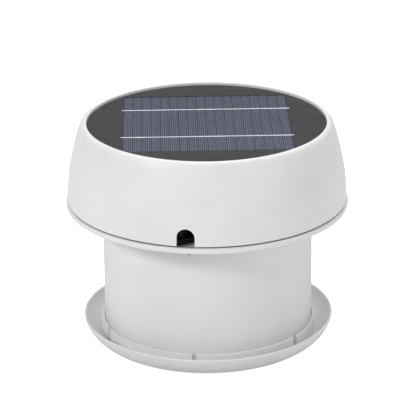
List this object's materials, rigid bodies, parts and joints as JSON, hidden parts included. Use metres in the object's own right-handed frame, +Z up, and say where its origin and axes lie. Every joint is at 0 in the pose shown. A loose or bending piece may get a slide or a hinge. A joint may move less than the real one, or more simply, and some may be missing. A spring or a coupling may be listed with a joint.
{
  "type": "solar attic fan",
  "caption": "Round mushroom-shaped roof ventilator with a solar panel in its white hood, an axial fan, a roof flange, a duct tube and a sliding ceiling trim ring.",
  "frame": {"origin": "centre of the duct tube's lower end, at the level it stands on", "axes": "+Z up along the duct towards the solar panel, -Y towards the hood's notch, +X to the right seen from the notch"},
  "size_m": [0.2146, 0.2146, 0.1715],
  "materials": {
    "white_hood": "satin moulded",
    "white_duct": "satin extruded",
    "white_trim": "satin moulded",
    "panel_board": "matt charcoal laminate",
    "silicon_cells": "polycrystalline silicon",
    "tinned_ribbon": "tinned copper ribbon",
    "clear_film": "clear satin film",
    "foam_tape": "closed-cell foam tape",
    "black_plastic": "black glass-filled plastic",
    "cable_sheath": "black vinyl sheath",
    "steel": "plated steel",
    "bronze": "sintered bronze",
    "circuit_board": "green solder mask",
    "copper_winding": "enamelled copper winding",
    "ferrite": "ferrite magnet"
  },
  "bodies": {
    "ventilator": {"hood": "white_hood", "panel_board": "panel_board", "cell_array": "silicon_cells", "ribbon_front": "tinned_ribbon", "ribbon_back": "tinned_ribbon", "panel_film": "clear_film", "panel_tape": "foam_tape", "junction_box": "black_plastic", "fan_lead": "cable_sheath", "base_plate": "white_hood", "duct_tube": "white_duct", "finger_guard": "black_plastic", "fan_frame": "black_plastic", "fan_bearing": "bronze", "fan_stator": "copper_winding", "fan_circuit_board": "circuit_board", "hood_screw_1": "steel", "fan_screw_1": "steel", "tube_screw_1": "steel", "hood_screw_2": "steel", "fan_screw_2": "steel", "tube_screw_2": "steel", "hood_screw_3": "steel", "fan_screw_3": "steel", "tube_screw_3": "steel", "hood_screw_4": "steel", "fan_screw_4": "steel", "tube_screw_4": "steel"},
    "fan_wheel": {"fan_rotor": "black_plastic", "fan_shaft": "steel", "magnet_ring": "ferrite"},
    "ceiling_trim": {"trim_ring": "white_trim"}
  },
  "joints": [
    {"name": "fan_spin", "type": "hinge", "parent": "ventilator", "child": "fan_wheel", "pos_m": [0, 0, 0.12], "axis": [0, 0, 1], "continuous": true},
    {"name": "trim_slide", "type": "slide", "parent": "ventilator", "child": "ceiling_trim", "axis": [0, 0, 1], "range_m": [0, 0.06]}
  ]
}
